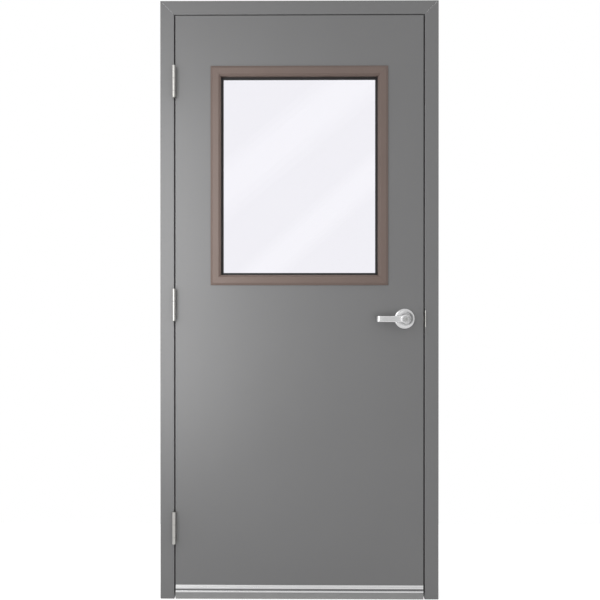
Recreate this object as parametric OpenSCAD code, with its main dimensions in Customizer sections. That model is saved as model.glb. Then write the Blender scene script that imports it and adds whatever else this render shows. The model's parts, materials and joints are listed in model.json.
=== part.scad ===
// Hollow-metal door set: a flush steel leaf with a glazed vision lite, hung in its folded steel frame.
// X runs to the strike side, Y into the wall, Z up. The origin lies on the finished floor, midway between
// the jambs, in the plane of the frame's pull-side face.

/* [Opening] */
// Clear width between the rabbets of the two jambs
opening_w = 914.4; // [890:0.1:1220]
// Height from the finished floor to the rabbet of the head
opening_h = 2133.6; // [2080:0.1:2440]

/* [Frame] */
// Width of the face that shows around the leaf
face_w = 50.8; // [45:0.1:64]
// Depth of the frame through the wall
jamb_depth = 146.05; // [140:0.05:220]
// Thickness of the folded frame sheet
frame_sheet = 1.5; // [1.2:0.1:1.9]
// Inside radius of the folds in the frame sheet
frame_bend = 1.2; // [0.6:0.1:1.8]
// Height of the stop that the leaf closes against
stop_h = 15.9; // [13:0.1:20]
// Length of the returns that hook behind the wall's faces
return_l = 12.7; // [10:0.1:16]
// Open joint at the mitred corners
mitre_gap = 0.4; // [0.2:0.1:0.8]
// Height of the lowest anchor hole in each jamb
anchor_low = 305; // [150:1:400]
// Spacing of the anchor holes up each jamb
anchor_pitch = 508; // [400:1:580]
// Diameter of the anchor holes
anchor_d = 10.3; // [8:0.1:13]
// Thickness of the floor clips
clip_t = 3; // [2:0.1:4]
// Length of each leg of the floor clips
clip_leg = 44; // [36:1:52]
// Spacing of the two bolt holes in each floor clip
clip_pitch = 22; // [18:1:24]
// Diameter of the bolt holes in the floor clips
clip_hole_d = 9; // [7:0.1:11]

/* [Silencers] */
// Distance that the silencers hold the leaf off the stop
silencer_gap = 3.15; // [2.6:0.05:4]
// Diameter of a silencer's cushion
silencer_d = 9; // [7:0.1:11]
// Diameter of the stem that plugs into the stop
silencer_stem_d = 6; // [4:0.1:6.5]
// Height of the lowest silencer
silencer_low = 330; // [200:1:450]
// Spacing of the silencers up the jamb
silencer_pitch = 740; // [600:1:800]

/* [Leaf] */
// Thickness of the leaf
leaf_t = 44.45; // [42:0.05:48]
// Gap between the leaf and each jamb
side_gap = 3.8; // [3:0.1:4.6]
// Gap between the leaf and the head
top_gap = 3.2; // [2.4:0.1:4.8]
// Height of the leaf's lower edge above the floor
undercut = 19; // [14:0.5:22]
// Depth of the leaf's face behind the frame's face
leaf_setback = 1.6; // [0.8:0.1:2.4]
// Thickness of the leaf's skins
skin_t = 1.2; // [0.9:0.1:1.5]
// Inside radius of the folds in the skins
skin_bend = 0.8; // [0.4:0.1:1.2]
// Open seam in the middle of the leaf's edges
seam = 0.5; // [0.3:0.1:1]
// Thickness of the end channels
channel_t = 1.5; // [1.2:0.1:1.9]
// Height of the end channels
channel_h = 20; // [15:0.5:26]
// Thickness of the stiffeners inside the leaf
stiffener_t = 0.9; // [0.7:0.1:1.2]
// Width of the stiffeners' flanges
stiffener_w = 22; // [18:0.5:24]
// Spacing of the stiffeners above and below the lite
stiffener_pitch = 152.4; // [120:0.1:180]

/* [Vision lite] */
// Width of the cut-out for the lite
lite_w = 609.6; // [450:0.1:616]
// Height of the cut-out for the lite
lite_h = 762; // [450:0.1:780]
// Distance from the top of the leaf to the cut-out
lite_drop = 203.2; // [150:0.1:230]
// Distance from the cut-out's edge to the inner edge of the lite frame
sight_inset = 18.3; // [16:0.1:24]
// Lap of the lite frame over the skin, outside the cut-out
lite_lap = 19.05; // [14:0.05:24]
// Projection of the lite frame from the skin
lite_proud = 9.5; // [7:0.1:12]
// Width of the bevel beside the glass
lite_inner_bevel = 8; // [5:0.1:10]
// Width of the bevel at the outer edge
lite_outer_bevel = 9; // [6:0.1:12]
// Height of the square edge below the outer bevel
lite_edge = 3; // [2.6:0.1:4]
// Thickness of the lite frame's sheet
lite_sheet = 1.2; // [0.9:0.1:1.4]
// Inside radius of the folds in the lite frame
lite_bend = 0.9; // [0.5:0.1:1.2]
// Thickness of the glass
glass_t = 6; // [5:0.1:10]
// Width of glass that the lite frame holds
glass_bite = 10.5; // [8:0.1:12]
// Thickness of the glazing tape
tape_t = 2.5; // [1.5:0.1:3.5]
// Width of the tape that shows inside the lite frame
tape_lip = 8; // [4:0.1:12]
// Length of the blocks under the glass
block_l = 75; // [50:1:84]
// Diameter of the lite screws
lite_screw_d = 4.2; // [3:0.1:4.8]

/* [Hinges] */
// Height of a hinge
hinge_h = 114.3; // [101:0.1:127]
// Width of a hinge laid open
hinge_w = 114.3; // [105:0.1:120]
// Thickness of the hinge leaves
hinge_gauge = 3.4; // [2.8:0.1:4.2]
// Diameter of the hinge pin
pin_d = 6.4; // [5.6:0.1:8]
// Distance from the hinge leaves' edge to the back of the door leaf
hinge_backset = 6.35; // [5:0.05:9]
// Distance from the head's rabbet to the middle of the top hinge
hinge_drop = 247.65; // [200:0.05:300]
// Height of the middle of the bottom hinge
hinge_low = 263.5; // [200:0.1:320]
// Height of a bearing ring's place between two knuckles
bearing_gap = 2.6; // [2:0.1:3.2]
// Thickness of the reinforcement plates behind the hinges
hinge_plate_t = 4.2; // [3:0.1:5]
// Length of the reinforcement plates beyond each end of a hinge
hinge_plate_end = 32; // [24:1:45]
// Diameter of the hinge screws
hinge_screw_d = 5.4; // [4.6:0.1:5.8]
// Diameter of the hinge screws' heads
hinge_screw_head = 9.6; // [8:0.1:10.6]

/* [Lock] */
// Height of the latch and levers
lock_z = 1024; // [950:1:1060]
// Distance from the leaf's edge to the lever's axis
backset = 69.85; // [66:0.05:72]
// Diameter of the bore through the leaf for the lock
lock_bore_d = 54; // [52:0.1:56]
// Diameter of the roses
rose_d = 76; // [68:0.1:84]
// Projection of a rose from the skin
rose_h = 10; // [8:0.1:13]
// Diameter of a lever's hub
hub_d = 36; // [33:0.1:40]
// Projection of a lever's hub from the skin
hub_proud = 54; // [50:0.1:60]
// Length of a lever from its axis to its tip
lever_l = 108; // [95:0.5:120]
// Height of a lever's arm
lever_h = 22; // [18:0.1:26]
// Thickness of a lever's arm
lever_t = 11; // [9:0.1:13]
// Centre-line radius of the return at a lever's tip
lever_return_r = 14; // [10:0.1:18]
// Diameter of the spindle tubes
spindle_d = 25; // [23:0.1:27]
// Diameter of the key cylinder's shell
cylinder_d = 19; // [17:0.1:20]
// Diameter of the key plug
plug_d = 12.7; // [11:0.1:14]
// Thickness of the latch's front plate
latch_plate_t = 2.4; // [2:0.1:3]
// Width of the latch's front plate
latch_plate_w = 28.6; // [27:0.1:32]
// Height of the latch's front plate
latch_plate_h = 57.15; // [54:0.05:64]
// Diameter of the latch's tube
latch_tube_d = 24.6; // [24:0.1:26]
// Thickness of the latch bolt
bolt_w = 12.4; // [11:0.1:13]
// Height of the latch bolt
bolt_h = 15; // [13:0.1:16]
// Throw of the latch bolt
bolt_throw = 12.7; // [11:0.1:14]
// Width of the deadlatch plunger
plunger_w = 4; // [3.4:0.1:4.4]

/* [Strike] */
// Height of the strike plate
strike_h = 123.8; // [115:0.1:135]
// Width of the strike plate
strike_w = 31.75; // [30:0.05:34]
// Thickness of the strike plate
strike_t = 2.4; // [2:0.1:3]
// Height of the strike's lip
lip_h = 62; // [50:0.5:70]
// Distance that the lip curls round the frame's face
lip_curl = 4; // [3.4:0.1:6]
// Depth of the strike box
box_depth = 18; // [16:0.5:22]

/* [Sweep] */
// Height of the sweep's top edge above the floor
sweep_top = 51; // [48:0.5:60]
// Height of the retainer
retainer_h = 25.5; // [24:0.1:29]
// Clearance of the fin above the floor
fin_clear = 1.5; // [0.5:0.1:4]
// Thickness of the fin
fin_t = 2; // [1.5:0.1:2.2]
// Distance from the sweep's ends to the leaf's edges
sweep_end = 1.5; // [0.5:0.1:5]
// Spacing of the sweep's screws
sweep_screw_pitch = 210; // [150:1:215]

/* [Hidden] */
bend_steps = 3;
round_steps = 8;
$fn = 64;
cut = 1;
fit = 0.3;
slip = 0.1;
run_clear = 0.05;

// Planes of the frame and leaf
rabbet_depth = leaf_setback + leaf_t + silencer_gap;
opening_half = opening_w / 2;
frame_half = opening_half + face_w;
frame_top = opening_h + face_w;
soffit_inside = opening_half - stop_h + frame_sheet;
clip_l = jamb_depth - 2 * (rabbet_depth + frame_sheet + frame_bend + fit);
top_margin = 180;
anchors = 1 + floor((opening_h - top_margin - anchor_low) / anchor_pitch);
silencer_count = 1 + floor((opening_h - top_margin - silencer_low) / silencer_pitch);
leaf_half = opening_half - side_gap;
leaf_top = opening_h - top_gap;
leaf_front = leaf_setback;
leaf_back = leaf_setback + leaf_t;
leaf_mid = leaf_setback + leaf_t / 2;
inner_front = leaf_front + skin_t;
inner_back = leaf_back - skin_t;
channel_low = undercut + channel_h;
channel_high = leaf_top - channel_h;
end_channel_half = leaf_half - skin_t - skin_bend - slip;

// Lite
lite_top = leaf_top - lite_drop;
lite_low = lite_top - lite_h;
lite_z = (lite_top + lite_low) / 2;
sight_w = lite_w - 2 * sight_inset;
sight_h = lite_h - 2 * sight_inset;
glass_w = sight_w + 2 * glass_bite;
glass_h = sight_h + 2 * glass_bite;
lite_face = sight_inset + lite_lap;
tape_front = leaf_mid - glass_t / 2 - tape_t;
lite_screw_u = (glass_bite + sight_inset) / 2;
lite_screw_head = 8;
lite_screw_head_h = 2.6;
lite_screw_rows = 4;
lite_screw_columns = 3;
block_x = sight_w / (lite_screw_columns + 1) / 2;

// Hinges
pin_x = -opening_half + side_gap / 2;
pin_y = leaf_back - hinge_backset - hinge_w / 2;
barrel_d = pin_d + 2 * hinge_gauge;
hinge_reach = hinge_w / 2;
hinge_edge = pin_y + hinge_reach;
hinge_high = opening_h - hinge_drop;
HINGE_Z = [hinge_high, (hinge_high + hinge_low) / 2, hinge_low];
HINGE_NAMES = ["top", "middle", "bottom"];
plain_gap = 0.4;
bearing_h = bearing_gap - fit;
knuckle_h = (hinge_h - 2 * plain_gap - 2 * bearing_gap) / 5;
plug_l = 8;
button_h = 1.6;
hinge_screw_l = 12;
hinge_screw_head_h = 2.6;
hinge_screw_z = hinge_h / 2 - 14;
hinge_screw_inner_z = hinge_screw_z - 27;
hinge_screw_near = hinge_reach - 27;
hinge_screw_far = hinge_reach - 11;
joggle = 7;

// Lock
lock_x = leaf_half - backset;
bolt_front = leaf_mid - 4;
bolt_back = bolt_front + bolt_w;
plunger_front = bolt_front - fit - plunger_w;
plunger_h = 10;
plunger_out = side_gap - 0.8;
pocket_h = bolt_h + 2 * fit;
chassis_d = lock_bore_d - 4;
latch_screw_z = latch_plate_h / 2 - 8;
latch_screw_d = 3.6;
latch_screw_head = 6.4;
latch_screw_head_h = 1.9;
latch_screw_l = 11;
reinforcement_l = 140;
reinforcement_leg = backset + lock_bore_d / 2 + 10;
reinforcement_x = leaf_half - latch_plate_t;
spindle_seat = 6;
spindle_wall = 2.5;
hub_start = rose_h + 0.5;
rose_rim = 2;
rose_crown = hub_d / 2 + 3;
arm_proud = hub_proud - 10;
lever_stations = 9;
lever_sides = 24;
cylinder_l = 24;
cylinder_proud = 0.4;
key_plug_l = 22;
key_plug_proud = 0.8;
keyway_w = 2;
keyway_h = 8.4;
keyway_l = 12;

// Strike
strike_x = opening_half;
strike_screw_z = strike_h / 2 - 8;
strike_screw_d = 5.4;
strike_screw_head = 9.6;
strike_screw_l = 11;
strike_screw_head_h = strike_t - 0.4;
strike_plate_t = 3.4;
box_h = 48;
box_wall = 1;
lip_out = 3.2;
lip_drop = 1.2;

// Sweep
retainer_low = sweep_top - retainer_h;
retainer_face = 3.2;
retainer_back = 1.6;
jaw_proud = 6.6;
jaw_h = 5.5;
groove_h = 6;
fin_slot = 2.4;
sweep_screws = 5;
sweep_screw_d = 2.9;
sweep_screw_head = 5.2;
sweep_screw_head_h = 1.8;
sweep_screw_l = 9.6;

PAINT = [0.48, 0.48, 0.48];
DARK_PAINT = [0.36, 0.36, 0.36];
BRONZE = [0.5, 0.44, 0.41];
SATIN = [0.78, 0.77, 0.75];
STEEL = [0.62, 0.62, 0.63];
ALUMINIUM = [0.82, 0.82, 0.82];
VINYL = [0.52, 0.52, 0.52];
RUBBER = [0.16, 0.16, 0.17];
GLASS = [0.86, 0.9, 0.93, 0.4];

// Outline of a folded sheet: the path is its outer face and the sheet lies to the left of it
function unit(v) = v / norm(v);
function left_of(v) = [-v[1], v[0]];
function backwards(list) = [for (i = [len(list) - 1 : -1 : 0]) list[i]];
function fold(a, p, b, t, r, inner) =
    let (
        n1 = left_of(unit(p - a)),
        n2 = left_of(unit(b - p)),
        turn = cross(p - a, b - p) > 0 ? 1 : -1,
        outer_r = turn > 0 ? r + t : r,
        centre = p + turn * outer_r * (n1 + n2) / (1 + n1 * n2),
        radius = outer_r - turn * t * inner,
        start = atan2(n1[1], n1[0]),
        sweep = turn * acos(n1 * n2)
    )
    [for (k = [0 : bend_steps])
        let (angle = start + sweep * k / bend_steps)
        centre - turn * radius * [cos(angle), sin(angle)]];
function folded(path, t, r) =
    let (
        last = len(path) - 1,
        outer = [for (i = [1 : last - 1]) each fold(path[i - 1], path[i], path[i + 1], t, r, 0)],
        inner = [for (i = [1 : last - 1]) each fold(path[i - 1], path[i], path[i + 1], t, r, 1)],
        first_side = t * left_of(unit(path[1] - path[0])),
        last_side = t * left_of(unit(path[last] - path[last - 1]))
    )
    concat([path[0]], outer, [path[last], path[last] + last_side], backwards(inner), [path[0] + first_side]);

// Points of an arc, used for the rounded outlines of turned pieces
function arc(centre, r, from, to) =
    [for (k = [0 : round_steps])
        let (angle = from + (to - from) * k / round_steps)
        centre + r * [cos(angle), sin(angle)]];

// A countersunk screw along +Z, with its head flush at the origin
module countersunk(d, head_d, head_h, l, grow = 0)
    rotate_extrude()
        polygon([[0, -grow], [head_d / 2 + grow, -grow], [head_d / 2 + grow, 0],
            [d / 2 + grow, head_h], [d / 2 + grow, l + grow], [0, l + grow]]);

// A pan-head screw along +Z, with the underside of its head at the origin
module pan_head(d, head_d, head_h, l)
    rotate_extrude()
        polygon(concat([[0, l], [d / 2, l], [d / 2, 0], [head_d / 2, 0], [head_d / 2, -head_h / 3]],
            [[head_d / 3, -head_h * 0.85], [0, -head_h]]));

// Turns +Z to point along +X or -X
module toward_x(side) rotate([0, side * 90, 0]) children();
// Turns +Z to point along +Y
module toward_y() rotate([-90, 0, 0]) children();

// FRAME

module frame_section()
    polygon(folded([
        [0, return_l], [0, 0], [face_w, 0], [face_w, rabbet_depth],
        [face_w + stop_h, rabbet_depth], [face_w + stop_h, jamb_depth - rabbet_depth],
        [face_w, jamb_depth - rabbet_depth], [face_w, jamb_depth],
        [0, jamb_depth], [0, jamb_depth - return_l]], frame_sheet, frame_bend));

// Half-space above (+1) or below (-1) the mitre at the hinge-side top corner, with half of the open joint
module mitre_side(side) {
    reach = 3 * (face_w + stop_h);
    translate([-frame_half, -cut, frame_top])
        rotate([0, 45, 0])
            translate([-reach, 0, side > 0 ? -mitre_gap / 2 : mitre_gap / 2 - reach])
                cube([2 * reach, jamb_depth + 2 * cut, reach]);
}

// A hinge-side jamb before its mortises; the strike side is its mirror image
module jamb_blank()
    difference() {
        translate([-frame_half, 0, 0]) linear_extrude(frame_top) frame_section();
        mitre_side(1);
        for (i = [0 : anchors - 1])
            translate([-soffit_inside - cut, jamb_depth / 2, anchor_low + i * anchor_pitch])
                toward_x(1) cylinder(d = anchor_d, h = frame_sheet + 2 * cut);
    }

// Room for a hinge leaf in the edge at local x = 0, on the side given
module hinge_mortise(side, front)
    translate([side > 0 ? -cut : -hinge_gauge, front, -hinge_h / 2 - slip])
        cube([hinge_gauge + cut, hinge_edge + slip - front, hinge_h + 2 * slip]);

// Pocket pressed into the jamb's edge for a hinge leaf, with a floor and walls of the jamb's own sheet
module hinge_pocket() {
    depth = hinge_gauge + frame_sheet;
    half = hinge_h / 2 + slip + frame_sheet;
    back = hinge_edge + slip + frame_sheet;
    bend_out = frame_sheet + frame_bend;
    translate([-depth, frame_sheet / 2, -half]) cube([frame_sheet, back - frame_sheet / 2, 2 * half]);
    translate([-depth, bend_out, -half]) cube([depth, back - bend_out, 2 * half]);
}

module hinge_jamb()
    color(PAINT)
        difference() {
            union() {
                jamb_blank();
                for (z = HINGE_Z)
                    translate([-opening_half, 0, z]) hinge_pocket();
            }
            for (z = HINGE_Z) {
                translate([-opening_half, 0, z]) hinge_mortise(-1, -cut);
                at_hinge(z) hinge_screw_holes(-1, frame_sheet);
            }
        }

module strike_jamb()
    color(PAINT)
        difference() {
            mirror([1, 0, 0]) jamb_blank();
            translate([strike_x - cut, leaf_mid - strike_w / 2 - slip, lock_z - strike_h / 2 - slip])
                cube([strike_t + cut, strike_w + 2 * slip, strike_h + 2 * slip]);
            translate([strike_x - cut, -cut, lock_z - lip_h / 2 - fit])
                cube([strike_t + fit + cut, leaf_mid, lip_h + 2 * fit]);
            for (i = [0 : silencer_count - 1])
                translate([strike_x - stop_h / 2, rabbet_depth - cut, silencer_low + i * silencer_pitch])
                    toward_y() cylinder(d = silencer_stem_d + 2 * slip, h = frame_sheet + 2 * cut);
        }

module head()
    color(PAINT)
        difference() {
            translate([-frame_half, 0, frame_top])
                toward_x(1) linear_extrude(2 * frame_half) frame_section();
            mitre_side(-1);
            mirror([1, 0, 0]) mitre_side(-1);
        }

// An angle welded inside the foot of the hinge-side jamb, with two holes for floor bolts
module floor_clip()
    color(DARK_PAINT)
        translate([-soffit_inside, jamb_depth / 2, 0])
            difference() {
                rotate([90, 0, 0])
                    linear_extrude(clip_l, center = true)
                        polygon(folded([[-clip_leg, 0], [0, 0], [0, clip_leg]], clip_t, frame_bend));
                for (side = [-1, 1])
                    translate([-clip_leg * 0.6, side * clip_pitch / 2, -cut])
                        cylinder(d = clip_hole_d, h = clip_t + 2 * cut);
            }

module hinge_jamb_clip() floor_clip();
module strike_jamb_clip() mirror([1, 0, 0]) floor_clip();

// A plate with joggled ends: its middle backs a mortised plate at depth middle, its ends lie on a sheet
// whose inner face is at depth ends. Local x runs into the sheet, local z along the plate.
module joggled_plate(half_l, middle_half, middle, ends, t, y_from, y_to)
    translate([0, y_to, 0])
        rotate([90, 0, 0])
            linear_extrude(y_to - y_from)
                polygon([
                    [ends, -half_l], [ends, -middle_half - joggle], [middle, -middle_half],
                    [middle, middle_half], [ends, middle_half + joggle], [ends, half_l],
                    [ends + t, half_l], [ends + t, middle_half + joggle], [middle + t, middle_half],
                    [middle + t, -middle_half], [ends + t, -middle_half - joggle], [ends + t, -half_l]]);

// The four screw places of a hinge leaf, in the hinge's own frame, with children pointing away from the gap
module at_hinge_screws(side)
    for (row = [-1, 1], place = [[hinge_screw_z, hinge_screw_near], [hinge_screw_inner_z, hinge_screw_far]])
        translate([side * side_gap / 2, place[1], row * place[0]]) toward_x(side) children();

// Holes for a hinge leaf's screws in the metal of thickness t behind it, in the hinge's own frame
module hinge_screw_holes(side, t)
    at_hinge_screws(side)
        translate([0, 0, hinge_gauge - cut])
            cylinder(d = hinge_screw_d + 2 * slip, h = t + 2 * cut);

// Reinforcement behind one hinge leaf, tapped for its screws, in the hinge's own frame. A pocket's floor of
// thickness pocket_floor may lie between the two.
module hinge_plate(side, sheet, front, pocket_floor = 0)
    difference() {
        mirror([side < 0 ? 1 : 0, 0, 0])
            translate([side_gap / 2, 0, 0])
                joggled_plate(hinge_h / 2 + hinge_plate_end, hinge_h / 2 + pocket_floor + 1,
                    hinge_gauge + pocket_floor, sheet, hinge_plate_t, front - pin_y, hinge_edge - pin_y + 4);
        hinge_screw_holes(side, pocket_floor + hinge_plate_t);
    }

module at_hinge(z) translate([pin_x, pin_y, z]) children();

module jamb_hinge_plates()
    color(DARK_PAINT)
        for (z = HINGE_Z)
            at_hinge(z) hinge_plate(-1, frame_sheet, frame_sheet + frame_bend + fit, frame_sheet);

module strike_reinforcement()
    color(DARK_PAINT)
        translate([strike_x, leaf_mid, lock_z])
            difference() {
                joggled_plate(strike_h / 2 + 24, strike_h / 2 + 1, strike_t, frame_sheet, strike_plate_t,
                    -strike_w / 2 - 3, strike_w / 2 + 3);
                translate([0, -strike_w / 2 + 1, -box_h / 2 - slip])
                    cube([box_depth, strike_w - 2, box_h + 2 * slip]);
                for (side = [-1, 1])
                    translate([0, 0, side * strike_screw_z])
                        toward_x(1) cylinder(d = strike_screw_d + 2 * slip, h = box_depth);
            }

module strike_box()
    color(DARK_PAINT)
        translate([strike_x + strike_t, leaf_mid, lock_z])
            difference() {
                translate([0, -strike_w / 2 + 1 + slip, -box_h / 2])
                    cube([box_depth, strike_w - 2 - 2 * slip, box_h]);
                translate([-cut, -strike_w / 2 + 1 + slip + box_wall, -box_h / 2 + box_wall])
                    cube([box_depth + cut - box_wall, strike_w - 2 - 2 * slip - 2 * box_wall,
                        box_h - 2 * box_wall]);
            }

module strike_plate()
    color(SATIN)
        difference() {
            union() {
                translate([strike_x, leaf_mid - strike_w / 2, lock_z - strike_h / 2])
                    cube([strike_t, strike_w, strike_h]);
                translate([strike_x, 0, lock_z - lip_h / 2])
                    linear_extrude(lip_h)
                        polygon(folded([[0, leaf_mid - strike_w / 2 + cut], [0, -lip_out],
                            [lip_curl, -lip_out - lip_drop]], strike_t, 1));
            }
            translate([strike_x - cut, bolt_front - 0.2, lock_z - bolt_h / 2 - 2])
                cube([strike_t + 2 * cut, bolt_w + 1.2, bolt_h + 4]);
            for (side = [-1, 1])
                translate([strike_x, leaf_mid, lock_z + side * strike_screw_z])
                    toward_x(1) countersunk(strike_screw_d, strike_screw_head, strike_screw_head_h,
                        strike_t + cut, slip);
        }

module strike_screws()
    color(SATIN)
        for (side = [-1, 1])
            translate([strike_x, leaf_mid, lock_z + side * strike_screw_z])
                toward_x(1) countersunk(strike_screw_d, strike_screw_head, strike_screw_head_h, strike_screw_l);

// Push-in rubber bumpers: a cushion on the stop's face, a stem and a barb behind the sheet
module silencers()
    color(RUBBER)
        for (i = [0 : silencer_count - 1])
            translate([strike_x - stop_h / 2, rabbet_depth, silencer_low + i * silencer_pitch])
                toward_y()
                    rotate_extrude()
                        polygon([[0, -silencer_gap + fit], [silencer_d / 2 - 1, -silencer_gap + fit],
                            [silencer_d / 2, -silencer_gap + fit + 1], [silencer_d / 2, 0],
                            [silencer_stem_d / 2, 0], [silencer_stem_d / 2, frame_sheet],
                            [silencer_stem_d / 2 + 0.8, frame_sheet], [silencer_stem_d / 4, frame_sheet + 7],
                            [0, frame_sheet + 7]]);

// HINGES, each drawn about its pin at the middle of its height

// Height taken up by the gaps above knuckle i, counted from the top
function gaps_above(i) = i == 0 ? 0 : gaps_above(i - 1) + (i % 2 == 1 ? plain_gap : bearing_gap);
function knuckle_foot(i) = hinge_h / 2 - (i + 1) * knuckle_h - gaps_above(i);

// A plate with its rolled knuckles, bored for the pin and cleared round the other leaf's knuckles
module hinge_leaf(side, own, others, gap_below, gap_over)
    difference() {
        union() {
            translate([side > 0 ? side_gap / 2 : -side_gap / 2 - hinge_gauge, 0, -hinge_h / 2])
                cube([hinge_gauge, hinge_reach, hinge_h]);
            for (i = own)
                translate([0, 0, knuckle_foot(i)]) cylinder(d = barrel_d, h = knuckle_h);
        }
        for (i = others)
            translate([0, 0, knuckle_foot(i) - gap_below])
                cylinder(d = barrel_d + 2 * fit, h = knuckle_h + gap_below + gap_over);
        translate([0, 0, -hinge_h / 2 - cut]) cylinder(d = pin_d + 2 * run_clear, h = hinge_h + 2 * cut);
        at_hinge_screws(side)
            countersunk(hinge_screw_d, hinge_screw_head, hinge_screw_head_h, hinge_gauge + cut, slip);
    }

module frame_leaf(i)
    color(SATIN) at_hinge(HINGE_Z[i]) hinge_leaf(-1, [0, 2, 4], [1, 3], bearing_gap, plain_gap);
module door_leaf(i)
    color(SATIN) at_hinge(HINGE_Z[i]) hinge_leaf(1, [1, 3], [0, 2, 4], plain_gap, bearing_gap);

// Half outline of a button tip on top of a shank
function button(r, h) = concat([[r, 0]], arc([r - h * 0.6, h * 0.4], h * 0.6, 0, 90), [[0, h]]);

module pin(i)
    color(SATIN)
        at_hinge(HINGE_Z[i])
            rotate_extrude()
                translate([0, hinge_h / 2])
                    polygon(concat([[0, plug_l + fit - hinge_h], [pin_d / 2, plug_l + fit - hinge_h],
                        [pin_d / 2, 0]], button(barrel_d / 2 - 0.3, button_h)));

module hinge_plugs()
    color(SATIN)
        for (z = HINGE_Z)
            at_hinge(z)
                mirror([0, 0, 1])
                    rotate_extrude()
                        translate([0, hinge_h / 2])
                            polygon(concat([[0, -plug_l], [pin_d / 2, -plug_l], [pin_d / 2, 0]],
                                button(barrel_d / 2 - 0.3, button_h)));

// Two rings that carry the door leaf's knuckles on the frame leaf's
module bearings(i)
    color(STEEL)
        at_hinge(HINGE_Z[i])
            for (k = [2, 4])
                translate([0, 0, knuckle_foot(k) + knuckle_h])
                    difference() {
                        cylinder(d = barrel_d - 0.4, h = bearing_h);
                        translate([0, 0, -cut]) cylinder(d = pin_d + 2 * slip, h = bearing_h + 2 * cut);
                    }

module hinge_screws(side)
    color(SATIN)
        for (z = HINGE_Z)
            at_hinge(z)
                at_hinge_screws(side)
                    translate([0, 0, slip])
                        countersunk(hinge_screw_d, hinge_screw_head, hinge_screw_head_h, hinge_screw_l);

module frame_hinge_screws() hinge_screws(-1);
module door_hinge_screws() hinge_screws(1);

// LEAF

module lock_axis() translate([lock_x, 0, lock_z]) children();

// A skin with its edges folded halfway round the leaf, on the pull side
module skin()
    translate([0, 0, undercut])
        linear_extrude(leaf_top - undercut)
            polygon(folded([[-leaf_half, leaf_mid - seam / 2], [-leaf_half, leaf_front],
                [leaf_half, leaf_front], [leaf_half, leaf_mid - seam / 2]], skin_t, skin_bend));

// Everything that is cut through both skins
module skin_cuts() {
    translate([-lite_w / 2, leaf_front - cut, lite_low]) cube([lite_w, leaf_t + 2 * cut, lite_h]);
    lock_axis()
        translate([0, leaf_front - cut, 0]) toward_y() cylinder(d = lock_bore_d, h = leaf_t + 2 * cut);
    translate([leaf_half - latch_plate_t, leaf_mid - latch_plate_w / 2 - slip,
        lock_z - latch_plate_h / 2 - slip])
        cube([latch_plate_t + cut, latch_plate_w + 2 * slip, latch_plate_h + 2 * slip]);
    for (z = HINGE_Z)
        translate([-leaf_half, 0, z]) hinge_mortise(1, leaf_front - cut);
}

module flip_leaf() translate([0, 2 * leaf_mid, 0]) mirror([0, 1, 0]) children();

module pull_skin()
    color(PAINT)
        difference() {
            skin();
            skin_cuts();
            at_sweep_screws() sweep_screw_hole();
        }

module push_skin()
    color(PAINT)
        difference() {
            flip_leaf() skin();
            skin_cuts();
        }

// A channel between the skins, along Z, with its web at x = 0 and its flanges towards +X
module stud(l, t, w)
    linear_extrude(l)
        polygon(folded([[w, inner_back], [0, inner_back], [0, inner_front], [w, inner_front]], t, skin_bend));

// The same channel laid along X, with its flanges up (+1) or down (-1)
module rail(half_l, z, t, w, side)
    translate([-half_l, 0, z])
        mirror([0, 0, side > 0 ? 0 : 1])
            multmatrix([[0, 0, 1, 0], [0, 1, 0, 0], [1, 0, 0, 0], [0, 0, 0, 1]])
                stud(2 * half_l, t, w);

module top_channel()
    color(DARK_PAINT) rail(end_channel_half, channel_high, channel_t, channel_h, 1);
module bottom_channel()
    color(DARK_PAINT)
        difference() {
            rail(end_channel_half, channel_low, channel_t, channel_h, -1);
            at_sweep_screws() sweep_screw_hole();
        }

// A stiffener beside the lite, from under its sill to the top channel
module side_stiffener()
    translate([lite_w / 2, 0, lite_low - stiffener_w])
        stud(channel_high - lite_low + stiffener_w, stiffener_t, stiffener_w);

module hinge_side_stiffener() color(DARK_PAINT) mirror([1, 0, 0]) side_stiffener();
module lock_side_stiffener() color(DARK_PAINT) side_stiffener();

// Below the lite, three stiffeners across the middle and one on each side, just clear of the lock's
// reinforcement
module lower_stiffeners() {
    lower_l = lite_low - stiffener_w - fit - channel_low;
    color(DARK_PAINT) {
        for (i = [-1 : 1])
            translate([i * stiffener_pitch, 0, channel_low]) stud(lower_l, stiffener_t, stiffener_w);
        for (side = [0, 1])
            mirror([side, 0, 0])
                translate([reinforcement_x - reinforcement_leg - fit - stiffener_w, 0, channel_low])
                    stud(lower_l, stiffener_t, stiffener_w);
    }
}

module upper_stiffeners()
    color(DARK_PAINT)
        for (i = [-1 : 1])
            translate([i * stiffener_pitch, 0, lite_top + stiffener_w + fit])
                stud(channel_high - lite_top - stiffener_w - fit, stiffener_t, stiffener_w);

module lite_sill_channel() color(DARK_PAINT) rail(lite_w / 2, lite_low, stiffener_t, stiffener_w, -1);
module lite_head_channel() color(DARK_PAINT) rail(lite_w / 2, lite_top, stiffener_t, stiffener_w, 1);

module leaf_hinge_plates()
    color(DARK_PAINT)
        for (z = HINGE_Z) at_hinge(z) hinge_plate(1, skin_t, inner_front + skin_bend + fit);

// A folded channel round the lock: bored for the lock, with a hole for the latch in its web
module lock_reinforcement()
    color(DARK_PAINT)
        difference() {
            translate([reinforcement_x, 0, lock_z - reinforcement_l / 2])
                mirror([1, 0, 0]) stud(reinforcement_l, channel_t, reinforcement_leg);
            lock_axis()
                translate([0, leaf_front, 0]) toward_y() cylinder(d = lock_bore_d, h = leaf_t);
            translate([reinforcement_x - channel_t - cut, leaf_mid, lock_z])
                toward_x(1) cylinder(d = latch_tube_d + 2 * slip, h = channel_t + 2 * cut);
            for (side = [-1, 1])
                translate([reinforcement_x - channel_t - cut, leaf_mid, lock_z + side * latch_screw_z])
                    toward_x(1) cylinder(d = latch_screw_d + 2 * slip, h = channel_t + 2 * cut);
        }

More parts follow.
